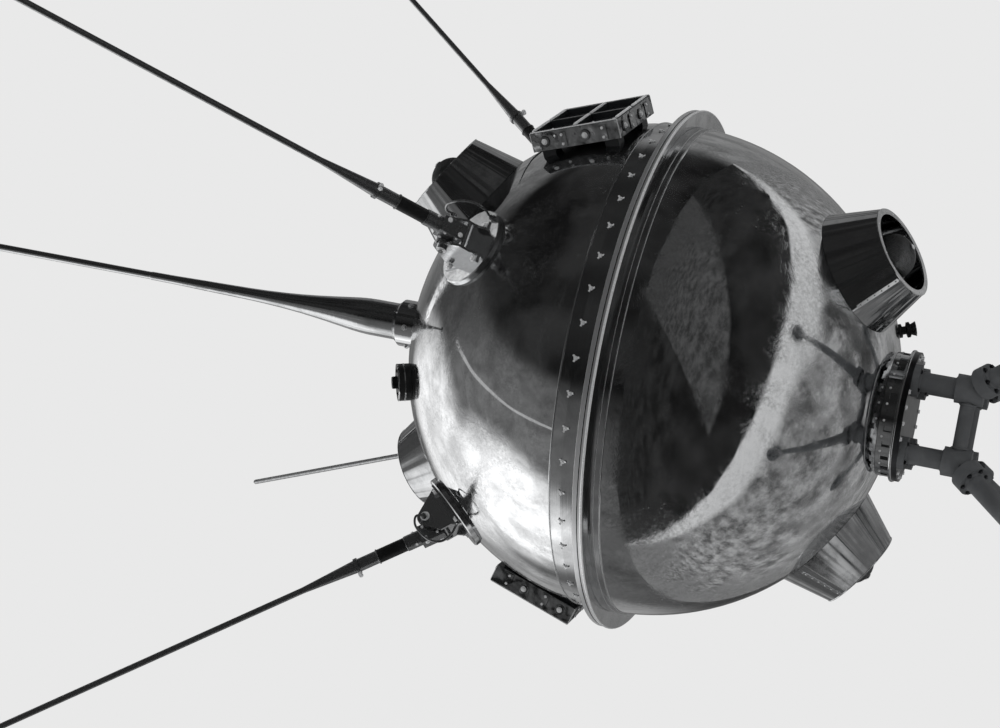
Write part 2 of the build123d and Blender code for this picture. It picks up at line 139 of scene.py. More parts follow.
def hand_polished_shell():
    """Spun aluminium, buffed by hand to a mirror.

    The reflections are clear and swim a little over the spun skin. Cloudy patches of fine grained
    haze show where the polish has gone dull, oxide stains dim it in smaller blots, and faint wipe
    marks run in bundles.
    """
    mat, tree, surface = blank_material("hand_polished_spun_aluminium")
    place = add_node(tree, "ShaderNodeTexCoord").outputs["Object"]
    patches = add_node(tree, "ShaderNodeTexNoise", {
        "Scale": 1 / (250 * MM), "Detail": 8.0, "Roughness": 0.68,
        "Distortion": 0.7}, {"Vector": place})
    dulled = add_node(tree, "ShaderNodeMapRange", {
        "From Min": 0.44, "From Max": 0.62}, {"Value": patches.outputs[0]})
    grain = add_node(tree, "ShaderNodeTexNoise", {
        "Scale": 1 / (9 * MM), "Detail": 4.0, "Roughness": 0.75}, {"Vector": place})
    speckle = add_node(tree, "ShaderNodeMapRange", {
        "From Min": 0.36, "From Max": 0.68}, {"Value": grain.outputs[0]})
    haze = add_node(tree, "ShaderNodeMath", {"operation": "MULTIPLY"}, {
        0: dulled.outputs[0], 1: speckle.outputs[0]})

    drawn = add_node(tree, "ShaderNodeMapping", {
        "Rotation": (0.5, 0.3, 0.9), "Scale": (3.0, 3.0, 1 / (9 * MM))}, {"Vector": place})
    wipes = add_node(tree, "ShaderNodeTexNoise", {
        "Scale": 1.0, "Detail": 3.0, "Distortion": 0.25}, {"Vector": drawn.outputs[0]})
    wiped = add_node(tree, "ShaderNodeMapRange", {
        "From Min": 0.60, "From Max": 0.78, "To Max": 0.30}, {"Value": wipes.outputs[0]})
    dull = add_node(tree, "ShaderNodeMath", {"operation": "MAXIMUM"}, {
        0: haze.outputs[0], 1: wiped.outputs[0]})

    blots = add_node(tree, "ShaderNodeTexNoise", {
        "Scale": 1 / (110 * MM), "Detail": 10.0, "Roughness": 0.74,
        "Distortion": 0.35}, {"Vector": place})
    blotted = add_node(tree, "ShaderNodeMapRange", {
        "From Min": 0.40, "From Max": 0.60}, {"Value": blots.outputs[0]})
    stained = add_node(tree, "ShaderNodeMath", {"operation": "MULTIPLY"}, {
        0: blotted.outputs[0], 1: speckle.outputs[0]})
    clean = add_node(tree, "ShaderNodeMix", {
        "data_type": "RGBA", 6: linear("D6D7D8"), 7: linear("C0C1C2")}, {0: dull.outputs[0]})
    tone = add_node(tree, "ShaderNodeMix", {
        "data_type": "RGBA", 7: linear("B0B1B2")}, {0: stained.outputs[0], 6: clean.outputs[2]})
    rough = add_node(tree, "ShaderNodeMapRange", {
        "To Min": 0.03, "To Max": 0.30}, {"Value": dull.outputs[0]})
    metal = add_node(tree, "ShaderNodeMapRange", {
        "To Min": 1.0, "To Max": 0.97}, {"Value": dull.outputs[0]})
    tree.links.new(rough.outputs[0], surface.inputs["Roughness"])
    tree.links.new(tone.outputs[2], surface.inputs["Base Color"])
    tree.links.new(metal.outputs[0], surface.inputs["Metallic"])

    waves = add_node(tree, "ShaderNodeTexNoise", {
        "Scale": 1 / (210 * MM), "Detail": 2.0, "Distortion": 0.3}, {"Vector": place})
    ripples = add_node(tree, "ShaderNodeTexNoise", {
        "Scale": 1 / (70 * MM), "Detail": 1.5, "Distortion": 0.5}, {"Vector": place})
    beaten = add_node(tree, "ShaderNodeMapRange", {
        "From Min": 0.52, "From Max": 0.68,
        "To Min": 0.02, "To Max": 0.28}, {"Value": patches.outputs[0]})
    height = add_node(tree, "ShaderNodeMath", {"operation": "MULTIPLY_ADD"}, {
        0: ripples.outputs[0], 1: beaten.outputs[0], 2: waves.outputs[0]})
    bump = add_node(tree, "ShaderNodeBump", {
        "Strength": 1.0, "Distance": 1.4 * MM}, {"Height": height.outputs[0]})
    tree.links.new(bump.outputs[0], surface.inputs["Normal"])
    return mat


def lathe_turned(name, bright, stained, roughness, groove_mm):
    """Lathe-turned aluminium, polished after turning.

    Fine grooves run round the polar axis, so highlights draw out across them. Real grooves are
    finer than a render shows, so groove_mm is as coarse as they need to be to read.
    """
    mat, tree, surface = blank_material(name)
    place = add_node(tree, "ShaderNodeTexCoord").outputs["Object"]
    along = add_node(tree, "ShaderNodeMapping", {
        "Scale": (2.0, 2.0, 1 / (groove_mm * MM))}, {"Vector": place})
    grooves = add_node(tree, "ShaderNodeTexNoise", {
        "Scale": 1.0, "Detail": 2.0}, {"Vector": along.outputs[0]})
    stains = add_node(tree, "ShaderNodeTexNoise", {
        "Scale": 1 / (70 * MM), "Detail": 5.0, "Roughness": 0.6,
        "Distortion": 0.8}, {"Vector": place})
    stained_by = add_node(tree, "ShaderNodeMapRange", {
        "From Min": 0.42, "From Max": 0.70}, {"Value": stains.outputs[0]})
    tone = add_node(tree, "ShaderNodeMix", {
        "data_type": "RGBA", 6: linear(bright), 7: linear(stained)}, {0: stained_by.outputs[0]})
    rough = add_node(tree, "ShaderNodeMapRange", {
        "To Min": roughness, "To Max": roughness + 0.14}, {"Value": stained_by.outputs[0]})
    surface.inputs["Metallic"].default_value = 1.0
    tree.links.new(tone.outputs[2], surface.inputs["Base Color"])
    tree.links.new(rough.outputs[0], surface.inputs["Roughness"])
    bump = add_node(tree, "ShaderNodeBump", {
        "Strength": 0.12, "Distance": 0.6 * MM}, {"Height": grooves.outputs[0]})
    tree.links.new(bump.outputs[0], surface.inputs["Normal"])
    return mat


def buffed_sheet(name, bright, worn, roughness, spot_mm,
                 rub=0.15, dents=0.1, metal=1.0, dent_mm=0.8):
    """Bent, machined or drawn metal, buffed.

    Bright faces carry dull handling spots of about spot_mm, rougher by rub, and dents up to
    dent_mm deep. The sharp edges are rubbed brighter than the faces.
    """
    mat, tree, surface = blank_material(name)
    place = add_node(tree, "ShaderNodeTexCoord").outputs["Object"]
    spots = add_node(tree, "ShaderNodeTexNoise", {
        "Scale": 1 / (spot_mm * MM), "Detail": 6.0, "Roughness": 0.62,
        "Distortion": 0.5}, {"Vector": place})
    handled = add_node(tree, "ShaderNodeMapRange", {
        "From Min": 0.38, "From Max": 0.68}, {"Value": spots.outputs[0]})
    edges = add_node(tree, "ShaderNodeNewGeometry").outputs["Pointiness"]
    rubbed = add_node(tree, "ShaderNodeMapRange", {
        "From Min": 0.52, "From Max": 0.60, "To Min": 1.0, "To Max": 0.2}, {"Value": edges})
    amount = add_node(tree, "ShaderNodeMath", {"operation": "MULTIPLY"}, {
        0: handled.outputs[0], 1: rubbed.outputs[0]})
    tone = add_node(tree, "ShaderNodeMix", {
        "data_type": "RGBA", 6: linear(bright), 7: linear(worn)}, {0: amount.outputs[0]})
    rough = add_node(tree, "ShaderNodeMapRange", {
        "To Min": roughness, "To Max": roughness + rub}, {"Value": amount.outputs[0]})
    surface.inputs["Metallic"].default_value = metal
    tree.links.new(tone.outputs[2], surface.inputs["Base Color"])
    tree.links.new(rough.outputs[0], surface.inputs["Roughness"])
    dented = add_node(tree, "ShaderNodeTexNoise", {
        "Scale": 1 / (spot_mm * MM), "Detail": 1.5}, {"Vector": place})
    bump = add_node(tree, "ShaderNodeBump", {
        "Strength": dents, "Distance": dent_mm * MM}, {"Height": dented.outputs[0]})
    tree.links.new(bump.outputs[0], surface.inputs["Normal"])
    return mat


def rolled_cone(name, polar, azimuth):
    """Aluminium sheet rolled into a cone.

    Rolling leaves faint flats that run from the base to the mouth, and each flat mirrors a
    streak of its own.
    """
    mat, tree, surface = blank_material(name)
    place = add_node(tree, "ShaderNodeTexCoord").outputs["Object"]
    upright = skin_place(polar, azimuth).inverted()
    turned = add_node(tree, "ShaderNodeMapping", {
        "Location": upright.to_translation() * MM,
        "Rotation": upright.to_3x3().normalized().to_euler()}, {"Vector": place})
    apart = add_node(tree, "ShaderNodeSeparateXYZ", links={0: turned.outputs[0]})
    angle = add_node(tree, "ShaderNodeMath", {"operation": "ARCTAN2"}, {
        0: apart.outputs["Y"], 1: apart.outputs["X"]})
    unrolled = add_node(tree, "ShaderNodeCombineXYZ", links={0: angle.outputs[0]})
    flats = add_node(tree, "ShaderNodeTexNoise", {
        "Scale": 2.8, "Detail": 2.0, "Roughness": 0.34}, {"Vector": unrolled.outputs[0]})
    stains = add_node(tree, "ShaderNodeTexNoise", {
        "Scale": 1 / (45 * MM), "Detail": 5.0, "Roughness": 0.6}, {"Vector": place})
    stained_by = add_node(tree, "ShaderNodeMapRange", {
        "From Min": 0.42, "From Max": 0.72}, {"Value": stains.outputs[0]})
    tone = add_node(tree, "ShaderNodeMix", {
        "data_type": "RGBA", 6: linear("B4B5B6"), 7: linear("9A9B9C")}, {0: stained_by.outputs[0]})
    rough = add_node(tree, "ShaderNodeMapRange", {
        "To Min": 0.09, "To Max": 0.24}, {"Value": stained_by.outputs[0]})
    surface.inputs["Metallic"].default_value = 1.0
    tree.links.new(tone.outputs[2], surface.inputs["Base Color"])
    tree.links.new(rough.outputs[0], surface.inputs["Roughness"])
    bump = add_node(tree, "ShaderNodeBump", {
        "Strength": 1.0, "Distance": 11 * MM}, {"Height": flats.outputs[0]})
    tree.links.new(bump.outputs[0], surface.inputs["Normal"])
    return mat


def coated(name, clean, dusty, roughness, grain_mm, grain_depth=0.15):
    """Paint, enamel, lacquer, plastic or rubber.

    No metal shows. A grain of grain_mm breaks the sheen, and thin dust lightens it in patches.
    """
    mat, tree, surface = blank_material(name)
    place = add_node(tree, "ShaderNodeTexCoord").outputs["Object"]
    grain = add_node(tree, "ShaderNodeTexNoise", {
        "Scale": 1 / (grain_mm * MM), "Detail": 3.0, "Roughness": 0.6}, {"Vector": place})
    settled = add_node(tree, "ShaderNodeTexNoise", {
        "Scale": 1 / (60 * MM), "Detail": 6.0, "Roughness": 0.65,
        "Distortion": 0.6}, {"Vector": place})
    amount = add_node(tree, "ShaderNodeMapRange", {
        "From Min": 0.4, "From Max": 0.7}, {"Value": settled.outputs[0]})
    tone = add_node(tree, "ShaderNodeMix", {
        "data_type": "RGBA", 6: linear(clean), 7: linear(dusty)}, {0: amount.outputs[0]})
    rough = add_node(tree, "ShaderNodeMapRange", {
        "To Min": roughness, "To Max": roughness + 0.12}, {"Value": amount.outputs[0]})
    tree.links.new(tone.outputs[2], surface.inputs["Base Color"])
    tree.links.new(rough.outputs[0], surface.inputs["Roughness"])
    bump = add_node(tree, "ShaderNodeBump", {
        "Strength": grain_depth, "Distance": 0.4 * MM}, {"Height": grain.outputs[0]})
    tree.links.new(bump.outputs[0], surface.inputs["Normal"])
    return mat


# Places on the probe, each a matrix from millimetres in its own frame

def skin_place(polar, azimuth, turn=0.0):
    """On the skin: z points out, x away from the upper pole, then turned about z."""
    p, a = math.radians(polar), math.radians(azimuth)
    out = Vector((math.sin(p) * math.cos(a), math.sin(p) * math.sin(a), math.cos(p)))
    away = Vector((math.cos(p) * math.cos(a), math.cos(p) * math.sin(a), -math.sin(p)))
    axes = Matrix((away, out.cross(away), out)).transposed().to_4x4()
    spin = Matrix.Rotation(math.radians(turn), 4, "Z")
    return Matrix.Translation(CENTRE + out * SPHERE_R * MM) @ axes @ spin @ Matrix.Scale(MM, 4)


def pin_place(azimuth, splay):
    """At an antenna's hinge pin: z along the antenna, y along the pin."""
    s, p = math.radians(splay), math.radians(WHIP_POLAR)
    along = Vector((math.sin(s), 0, math.cos(s)))
    across = Vector((math.cos(s), 0, -math.sin(s)))
    skin = Vector((math.sin(p), 0, math.cos(p))) * SPHERE_R
    spot = skin + along * PIN_OUT - across * PIN_BACK
    axes = Matrix((across, Vector((0, 1, 0)), along)).transposed().to_4x4()
    way = Matrix.Translation(CENTRE) @ Matrix.Rotation(math.radians(azimuth), 4, "Z")
    return way @ Matrix.Scale(MM, 4) @ Matrix.Translation(spot) @ axes


def spot_at(place, x, y, z, tilt=0.0, about="Y"):
    """A smaller frame inside a place, tilted about one of its axes."""
    return place @ Matrix.Translation((x, y, z)) @ Matrix.Rotation(math.radians(tilt), 4, about)


def around(place, count, start=0.0):
    """The place turned about its own z in even steps, the first by start radians."""
    step = 2 * math.pi / count
    return [place @ Matrix.Rotation(step * i + start, 4, "Z") for i in range(count)]


# Shapes added to a mesh in the making

def turn_piece(bm, place, outline, sides=24, hollow=False):
    """Turned about z; outline is (radius, height), and joins its own start when hollow."""
    rings = []
    for radius, height in outline:
        if radius == 0:
            rings.append([bm.verts.new(place @ Vector((0, 0, height)))] * sides)
            continue
        ring = []
        for i in range(sides):
            t = 2 * math.pi * i / sides
            corner = Vector((radius * math.cos(t), radius * math.sin(t), height))
            ring.append(bm.verts.new(place @ corner))
        rings.append(ring)
    if hollow:
        rings.append(rings[0])
    for low, high in zip(rings, rings[1:]):
        for i in range(sides):
            corners = [low[i], low[(i + 1) % sides], high[(i + 1) % sides], high[i]]
            bm.faces.new(list(dict.fromkeys(corners)))


def plate_piece(bm, place, size, bevel=0.5):
    """Plate or bar with softened edges, centred on its place."""
    made = bmesh.ops.create_cube(bm, size=1.0, matrix=place @ Matrix.Diagonal((*size, 1)))
    edges = list(dict.fromkeys(edge for vert in made["verts"] for edge in vert.link_edges))
    bmesh.ops.bevel(bm, geom=edges, offset=bevel * MM, segments=2, affect="EDGES")


def hex_head(bm, place, radius, height):
    """Bolt head with six flats and a chamfered top, on a washer."""
    washer = 0.22 * height
    turn_piece(bm, place, [(0, 0), (1.32 * radius, 0), (1.32 * radius, washer), (0, washer)])
    turn_piece(bm, place, [
        (0, washer), (radius, washer), (radius, 0.82 * height),
        (0.84 * radius, height), (0, height)], 6)


def slotted_head(bm, place, radius, height):
    """Screw head with a driver slot across it."""
    floor = 0.45 * height
    turn_piece(bm, place, [(0, 0), (radius, 0), (radius, floor), (0, floor)])
    slot = 0.15 * radius
    for side in (-1, 1):
        low, high = [], []
        for i in range(11):
            t = math.radians(-81 + 16.2 * i)
            x, y = side * max(slot, radius * math.cos(t)), radius * math.sin(t)
            low.append(bm.verts.new(place @ Vector((x, y, floor))))
            inner = Vector((side * max(slot, 0.8 * radius * math.cos(t)), 0.8 * y, height))
            high.append(bm.verts.new(place @ inner))
        for i in range(10):
            bm.faces.new((low[i], low[i + 1], high[i + 1], high[i]))
        bm.faces.new((low[-1], low[0], high[0], high[-1]))
        bm.faces.new(high)


def bent_rod(bm, place, points, radius, sides=10, steps=6):
    """Round rod or lead along a smooth line through the points, closed at both ends."""
    knots = [Vector(p) for p in points]
    knots = [knots[0] * 2 - knots[1]] + knots + [knots[-1] * 2 - knots[-2]]
    line = []
    for a, b, c, d in zip(knots, knots[1:], knots[2:], knots[3:]):
        for i in range(steps):
            t = i / steps
            line.append(0.5 * (2 * b + (c - a) * t + (2 * a - 5 * b + 4 * c - d) * t ** 2
                               + (3 * b - a - 3 * c + d) * t ** 3))
    line.append(knots[-2])
    side = (line[1] - line[0]).orthogonal().normalized()
    rings = []
    for i, spot in enumerate(line):
        ahead = (line[min(i + 1, len(line) - 1)] - line[max(i - 1, 0)]).normalized()
        side = (side - ahead * side.dot(ahead)).normalized()
        other = ahead.cross(side)
        ring = []
        for k in range(sides):
            t = 2 * math.pi * k / sides
            out = side * math.cos(t) + other * math.sin(t)
            ring.append(bm.verts.new(place @ (spot + radius * out)))
        rings.append(ring)
    for low, high in zip(rings, rings[1:]):
        for k in range(sides):
            bm.faces.new((low[k], low[(k + 1) % sides], high[(k + 1) % sides], high[k]))
    bm.faces.new(rings[0])
    bm.faces.new(rings[-1])


def hand_over(bm, name, slot, body="probe", finish=None):
    """Turns the mesh in the making into a piece that wears a finish and rides on a body."""
    bmesh.ops.recalc_face_normals(bm, faces=bm.faces)
    mesh = bpy.data.meshes.new(name)
    bm.to_mesh(mesh)
    bm.free()
    mesh.materials.append(finish or FINISHES[slot])
    mesh.shade_smooth()
    mesh.set_sharp_from_angle(angle=math.radians(38))
    piece = bpy.data.objects.new(name, mesh)
    bpy.context.scene.collection.objects.link(piece)
    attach(piece, body)


FINISHES = {
    "polished_shell": hand_polished_shell(),
    "frame_metal": lathe_turned("turned_aluminium_frame", "C9CACB", "ABACAD", 0.07, 1.6),
    "gasket_rubber": coated("black_gasket_rubber", "17181A", "242526", 0.75, 1.2),
    "instrument_case": coated("grey_instrument_lacquer", "8D9091", "7B7E80", 0.5, 2.0),
    "boom_metal": lathe_turned("turned_aluminium_boom", "B9BABB", "A3A4A5", 0.12, 1.2),
    "bracket_metal": buffed_sheet("bright_bent_aluminium", "D8D9DA", "C4C5C6", 0.13, 24),
    "whip_metal": buffed_sheet("drawn_steel_tube", "9C9D9E", "7E7F80", 0.24, 14, metal=0.93),
    "black_insulator": coated("black_moulded_insulator", "101112", "1C1D1E", 0.42, 1.5),
    "grid_metal": buffed_sheet("fine_wire_grid", "8A8B8C", "6E6F70", 0.35, 6, 0.2, 0.3),
    "sensor_enamel": coated("dark_sensor_enamel", "1E2022", "2B2D2F", 0.30, 2.0),
    "connector_black": coated("black_connector_lacquer", "131415", "202122", 0.38, 1.0),
    "dark_plate": buffed_sheet("dark_oxide_plate", "4A4B4D", "37383A", 0.32, 20),
    "grey_paint": coated("matt_grey_stand_paint", "56585A", "66686A", 0.62, 1.4, 0.25),
}
# Pale plating: screw heads stay light against any reflection.
BRIGHT_STEEL = buffed_sheet("plated_steel_screws", "EDEEEF", "D6D7D8", 0.20, 5, metal=0.3)
# A satin that spreads the light along the rims and keeps them grey.
SATIN_EDGE = buffed_sheet("satin_turned_edge", "DCDDDE", "CACBCC", 0.30, 60, metal=0.82)
# Anodised to a pale grey: the lightest lines on the boxes.
PALE_STRIP = buffed_sheet("pale_anodised_strip", "ECEDEE", "D8D9DA", 0.25, 30, metal=0.25)
# Polished after bending: a thin bright line with dark edges.
BRIGHT_STRIP = buffed_sheet("polished_edge_strip", "D4D5D6", "BCBDBE", 0.11, 30)
# Anodised unevenly and lightly dented: near black, with broken gleams.
DARK_SHEET = buffed_sheet(
    "dark_anodised_sheet", "9C9D9E", "1E1F20", 0.12, 46, 0.2, 1.0, metal=0.96, dent_mm=14)

cones = {}
for number, polar, azimuth in TRAPS:
    cone = rolled_cone("rolled_aluminium_cone_%d" % number, polar, azimuth)
    cones["ion_trap_shroud_%d" % number] = cone
slot_of = {item["node"]: item["material_slot"] for item in frame["record"]["subparts"]}
for name, node in frame["nodes"].items():
    node.data.materials.clear()
    node.data.materials.append(cones.get(name) or FINISHES[slot_of[name]])


# Pieces

def band_screws():
    """Screws of the upper ring frame, each on a lock washer with three ears bent up at its head."""
    bm = bmesh.new()
    polar = math.degrees(math.acos(BAND_SCREW_Z / SPHERE_R))
    for i in range(BAND_SCREWS):
        place = skin_place(polar, 6.1 + 360 / BAND_SCREWS * i)
        turn_piece(bm, spot_at(place, 0, 0, BAND_PROUD - 0.3), [
            (0, 0), (5.2, 0), (4.8, 0.8), (0, 0.8)])
        slotted_head(bm, spot_at(place, 0, 0, BAND_PROUD + 0.4, 37 * i, "Z"), 4.0, 3.0)
        for turn in (18, 132, 250):
            ear = spot_at(spot_at(place, 0, 0, BAND_PROUD + 1.4, turn, "Z"), 6.6, 0, 0, -24)
            plate_piece(bm, ear, (5.6, 4.6, 1.2))
    hand_over(bm, "band_screws", "bracket_metal", finish=BRIGHT_STEEL)


def frame_beads():
    """Polished beads along the edges of the ring frames, rims of the flanges and their lit edge."""

    def bead(bm, radius, height, across):
        """Round wire that runs round the polar axis."""
        outline = [(radius + across * math.cos(t), height + across * math.sin(t))
                   for t in BEAD_ANGLES]
        turn_piece(bm, AT_CENTRE, outline, 256, True)

    bm = bmesh.new()
    bead(bm, 598.6, 57.0, 2.0)
    bead(bm, 597.5, -59.0, 1.8)
    bead(bm, 599.6, -46.0, 1.3)
    hand_over(bm, "frame_beads", "frame_metal", finish=BRIGHT_STRIP)
    bm = bmesh.new()
    inner = FLANGE_R - 0.9
    turn_piece(bm, AT_CENTRE, [
        (inner, -10.4), (FLANGE_R, -11.4), (FLANGE_R, -20.2), (inner, -21.0)], 256, True)
    turn_piece(bm, AT_CENTRE, [
        (inner, -23.0), (FLANGE_R, -23.6), (FLANGE_R, -30.0), (inner, -30.6)], 256, True)
    hand_over(bm, "flange_rims", "frame_metal", finish=SATIN_EDGE)
    bm = bmesh.new()
    bead(bm, FLANGE_R - 1.1, -30.8, 3.2)
    hand_over(bm, "flange_edge", "frame_metal", finish=BRIGHT_STEEL)


def bracket_hardware(number, azimuth, splay):
    """Foot bolts, pin washers and split pins of the bracket under an antenna."""
    place = skin_place(BRACKET_POLAR, azimuth)
    pin = pin_place(azimuth, splay)
    bm = bmesh.new()
    for x in (-54, 38):
        for y in (-44, 44):
            hex_head(bm, spot_at(place, x, y, 10, 17 * x, "Z"), 6.5, 6)
    for side in (-1, 1):
        turn_piece(bm, spot_at(pin, 0, side * 42, 0, -90 * side, "X"), [
            (11.6, -0.5), (11.6, 0.8), (6.1, 0.8)])
        bent_rod(bm, spot_at(pin, 0, side * 45, 0), [
            (-10, 0, 3), (-4, 0, 0), (4, 0, 0), (9, 0, -4)], 1.1, 8)
    hand_over(bm, "bracket_fasteners_%d" % number, "bracket_metal", finish=BRIGHT_STEEL)


def feed_lead(number, azimuth):
    """Stiff lead from the end of the hinge pin over the bracket and down to a gland at its foot."""
    place = skin_place(BRACKET_POLAR, azimuth)
    bm = bmesh.new()
    bent_rod(bm, place, [
        (-16, 55, 67), (-24, 57, 84), (-4, 60, 98), (28, 60, 98), (56, 60, 88),
        (72, 60, 68), (71, 60, 42), (61, 60, 22), (58, 60, 8)], 2.9)
    hand_over(bm, "feed_lead_%d" % number, "whip_metal")
    bm = bmesh.new()
    turn_piece(bm, spot_at(place, 58, 60, 5.5), [
        (0, 0), (9, 0), (9, 4), (6, 5.5), (6, 11), (3.2, 13), (0, 13)])
    turn_piece(bm, spot_at(place, -16, 46, 67, -90, "X"), [
        (0, 0), (7.5, 0), (7.5, 8), (5, 10.5), (0, 10.5)], 20)
    hand_over(bm, "feed_glands_%d" % number, "bracket_metal", finish=BRIGHT_STRIP)


def antenna_details(number, azimuth, splay):
    """Lug of the clamp ring, rings at the ends of the sleeve and the screws of the collar."""
    pin = pin_place(azimuth, splay)
    axis = spot_at(pin, PIN_BACK, 0, 0)
    body = "antenna_%d" % number
    bm = bmesh.new()
    for y in (-3.6, 3.6):
        plate_piece(bm, spot_at(axis, 23, y, CLAMP_Z), (13, 3, 9), 0.6)
    hex_head(bm, spot_at(axis, 24.5, 5, CLAMP_Z, -90, "X"), 4, 4)
    hex_head(bm, spot_at(axis, 24.5, -5, CLAMP_Z, 90, "X"), 4, 3)
    for i in range(3):
        collar = spot_at(axis, 0, 0, 46) @ Matrix.Rotation(2.1 * i + 0.5, 4, "Z")
        slotted_head(bm, spot_at(collar, 18.6, 0, 0, 90), 3.4, 2.6)
    for z in (-12, 18):
        for x in (-14, 14):
            slotted_head(bm, spot_at(axis, x, -20, z, 90, "X"), 3.4, 2.4)
            slotted_head(bm, spot_at(axis, x, 20, z, -90, "X"), 3.4, 2.4)
    for y, z in ((-11, -15), (11, 19)):
        hex_head(bm, spot_at(pin, 50, y, z, 90), 4.6, 4)
    hand_over(bm, "antenna_screws_%d" % number, "bracket_metal", body, BRIGHT_STEEL)
    bm = bmesh.new()
    for z in SLEEVE_ENDS:
        turn_piece(bm, spot_at(axis, 0, 0, z), [
            (16.8, 0.4), (18.2, 0.4), (18.8, 1.0),
            (18.8, 2.8), (18.2, 3.4), (16.8, 3.4)], 40, True)
    hand_over(bm, "sleeve_rings_%d" % number, "whip_metal", body)


def sensor_case(number, polar, azimuth, turn):
    """Walls, strips, lugs and screws of an impact sensor box, and the ribs in its cells."""
    place = skin_place(polar, azimuth, turn)
    length = 2 * BOX_HALF + 1.4
    lug_rows = (-78, 26)
    bm = bmesh.new()
    for side in (-1, 1):
        plate_piece(bm, spot_at(place, side * BOX_HALF, 0, 27.5), (1.6, length, 44))
        plate_piece(bm, spot_at(place, 0, side * BOX_HALF, 27.5), (length, 1.6, 44))
        plate_piece(bm, spot_at(place, 0, side * 107.6, 51.4), (length, 7.4, 1.4))
    plate_piece(bm, spot_at(place, 0, 0, 51.2), (206, 6.0, 1.2))
    for face in around(place, 4):
        for y in lug_rows:
            turn_piece(bm, spot_at(face, BOX_HALF + 0.7, y, 27, 90), [
                (13, 0), (13, 1.8), (11.6, 3.2), (8, 3.6), (0, 3.6)], 28)
            plate_piece(bm, spot_at(face, BOX_HALF + 1.6, y + 46, 26), (3.0, 22, 36), 1.2)
    hand_over(bm, "sensor_walls_%d" % number, "frame_metal", finish=DARK_SHEET)
    bm = bmesh.new()
    for x in (-106.8, 0, 106.8):
        for y in (-52.5, 52.5):
            plate_piece(bm, spot_at(place, x, y, BOX_STRIP_Z), (9.4, 97, 5.2), 2.4)
    corner = BOX_HALF + 0.1
    for side in (-1, 1):
        plate_piece(bm, spot_at(place, 0, side * corner, 51.6), (224, 2.6, 2.6), 1.2)
        for y in (-corner, corner):
            plate_piece(bm, spot_at(place, side * corner, y, 28), (3.0, 3.0, 47), 1.3)
    hand_over(bm, "sensor_strips_%d" % number, "frame_metal", finish=PALE_STRIP)
    bm = bmesh.new()
    for x in (-104, -52, 52, 104):
        for y in (-107.6, 107.6):
            slotted_head(bm, spot_at(place, x, y, 52.0, 31 * x + y, "Z"), 2.9, 1.8)
    for face in around(place, 4):
        for y in lug_rows:
            hex_head(bm, spot_at(face, BOX_HALF + 3.4, y, 27, 90), 5.5, 4.5)
            for z in (15, 37):
                slotted_head(bm, spot_at(face, BOX_HALF + 3.0, y + 46, z, 90), 3.6, 2.6)
    hand_over(bm, "sensor_screws_%d" % number, "bracket_metal", finish=BRIGHT_STEEL)
    bm = bmesh.new()
    for x in (-1, 1):
        for y in (-1, 1):
            cell = spot_at(place, 53.5 * x, 53.5 * y, 37.2)
            plate_piece(bm, cell, (92, 92, 1.2), 0.4)
            for i in range(7):
                plate_piece(bm, spot_at(cell, -36 + 12 * i, 0, 1), (1.4, 90, 2.4), 0.3)
    hand_over(bm, "sensor_cells_%d" % number, "sensor_enamel")


def trap_details(number, polar, azimuth):
    """Rolled lip and seam of a shroud, its rivets, and the woven wire over the round grid."""
    place = skin_place(polar, azimuth)
    bm = bmesh.new()
    turn_piece(bm, spot_at(place, 0, 0, TRAP_HEIGHT), [
        (106.6, -1.4), (108.4, -1.2), (109.2, 0.0), (108.4, 1.3), (106.6, 1.5),
        (96.0, 1.0), (94.4, 0.9), (94.2, -3.6), (95.4, -3.8), (95.6, -0.2)], 96, True)
    taper = TRAP_BASE_R - TRAP_MOUTH_R
    lean = math.degrees(math.atan2(taper, TRAP_HEIGHT))
    seam = spot_at(place, 0, 0, 0, SEAM_TURNS[number], "Z")
    plate_piece(bm, spot_at(seam, 127.0, 0, 46.5, -lean), (1.6, 9, 108), 0.4)
    for i in range(6):
        z = 4 + 17.5 * i
        cone_r = TRAP_BASE_R - taper * z / TRAP_HEIGHT
        turn_piece(bm, spot_at(seam, cone_r + 0.7, 0, z, 90 - lean), [
            (2.4, 0), (2.2, 0.8), (1.2, 1.5), (0, 1.7)], 12)
    hand_over(bm, "trap_lip_%d" % number, "trap_metal", finish=BRIGHT_STRIP)
    bm = bmesh.new()
    for i, spin in enumerate(around(place, 16)):
        turn_piece(bm, spot_at(spin, 100.5, 0, 102), [
            (2.3, 0), (2.0, 0.8), (1.0, 1.4), (0, 1.5)], 12)
        if i % 2:
            slotted_head(bm, spot_at(spin, GRID_R + 2.2, 0, GRID_BASE), 2.0, 1.6)
    turn_piece(bm, spot_at(place, 0, 0, 129), [
        (0, 0), (6.2, 0), (6.2, 1.2), (4.6, 2.2), (0, 2.4)], 20)
    hand_over(bm, "trap_rivets_%d" % number, "bracket_metal", finish=BRIGHT_STEEL)
    bm = bmesh.new()
    for about in (0, 90):
        weave = spot_at(place, 0, 0, GRID_BASE, about, "Z")
        for i in range(-12, 13):
            across = 4.1 * i
            arc_r = math.sqrt(GRID_R ** 2 - across ** 2)
            arc = []
            for k in range(13):
                t = math.radians(4 + 172 / 12 * k)
                arc.append((across, arc_r * math.cos(t), arc_r * math.sin(t)))
            bent_rod(bm, weave, arc, 0.55, 5, 2)
    hand_over(bm, "trap_mesh_%d" % number, "grid_metal")


